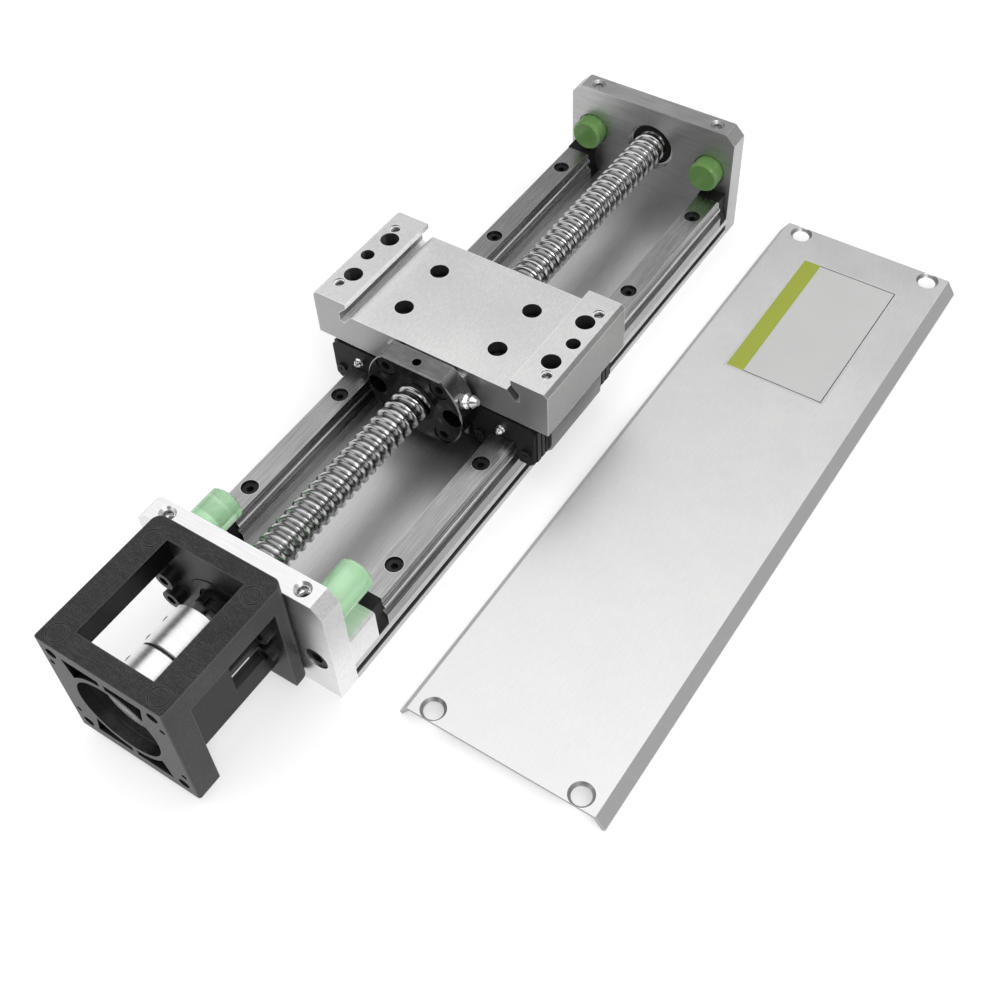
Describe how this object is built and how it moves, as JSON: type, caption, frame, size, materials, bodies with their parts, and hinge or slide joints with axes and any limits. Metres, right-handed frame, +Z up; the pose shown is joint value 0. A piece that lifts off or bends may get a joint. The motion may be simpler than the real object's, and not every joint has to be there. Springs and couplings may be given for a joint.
{
  "type": "linear sliding table",
  "caption": "Ball screw sliding table on two profile rails, with a grooved carriage, coupling housing for a motor, green stops and a sheet cover beside it.",
  "frame": {"origin": "middle of the underside of the base", "axes": "+X along the travel away from the motor, +Y to the left, +Z up"},
  "size_m": [0.3909, 0.2156, 0.0659],
  "materials": {
    "base_aluminium": "extruded and anodised",
    "plate_aluminium": "milled and anodised",
    "carriage_aluminium": "milled and anodised",
    "cover_aluminium": "brushed sheet",
    "rail_steel": "ground",
    "block_steel": "ground",
    "nut_steel": "ground",
    "screw_steel": "rolled and polished",
    "bearing_steel": "ground",
    "black_steel": "black oxide",
    "black_plastic": "moulded",
    "black_rubber": "moulded",
    "green_urethane": "clear green, glossy",
    "black_casting": "die cast, black coated",
    "coupling_aluminium": "turned",
    "nipple_steel": "zinc plated"
  },
  "bodies": {
    "frame": {"base_extrusion": "base_aluminium", "left_rail": "rail_steel", "right_rail": "rail_steel", "left_rail_screws": "black_steel", "right_rail_screws": "black_steel", "rail_end_blocks": "plate_aluminium", "end_block_screws": "black_steel", "rail_end_buffers": "black_rubber", "motor_end_plate": "plate_aluminium", "far_end_plate": "plate_aluminium", "motor_plate_screws": "black_steel", "far_plate_screws": "black_steel", "motor_housing": "black_casting", "housing_screws": "black_steel", "bearing_retainer": "black_steel", "fixed_bearing_outer": "bearing_steel", "fixed_bearing_balls": "bearing_steel", "far_bearing_outer": "bearing_steel", "far_bearing_balls": "bearing_steel", "fixed_bearing_seals": "black_rubber", "far_bearing_seals": "black_rubber", "near_bumpers": "green_urethane", "far_bumpers": "green_urethane"},
    "carriage": {"carriage_plate": "carriage_aluminium", "left_block": "block_steel", "right_block": "block_steel", "left_block_caps": "black_plastic", "right_block_caps": "black_plastic", "left_block_seals": "black_rubber", "right_block_seals": "black_rubber", "block_end_screws": "black_steel", "block_nipples": "nipple_steel", "left_block_screws": "black_steel", "right_block_screws": "black_steel", "ball_nut": "nut_steel", "nut_nipple": "nipple_steel", "nut_wipers": "black_rubber", "nut_flange_screws": "black_steel"},
    "screw": {"ball_screw": "screw_steel", "fixed_bearing_inner": "bearing_steel", "far_bearing_inner": "bearing_steel", "lock_nut": "black_steel", "screw_circlip": "black_steel", "coupling_screw_hub": "coupling_aluminium", "coupling_motor_hub": "coupling_aluminium", "coupling_disc": "black_rubber", "coupling_screws": "black_steel"},
    "cover": {"cover_plate": "cover_aluminium"}
  },
  "joints": [
    {"name": "carriage_slide", "type": "slide", "parent": "frame", "child": "carriage", "axis": [1, 0, 0], "range_m": [-0.0878, 0.1174]},
    {"name": "screw_spin", "type": "hinge", "parent": "frame", "child": "screw", "pos_m": [0, 0, 0.0363], "axis": [1, 0, 0], "continuous": true},
    {"name": "cover_lift", "type": "slide", "parent": "frame", "child": "cover", "axis": [0, 0, 1], "range_m": [0, 0.1]}
  ],
  "couplings": [
    {"joint": "screw_spin", "follows": "carriage_slide", "rad_per_m": -1256.6}
  ]
}
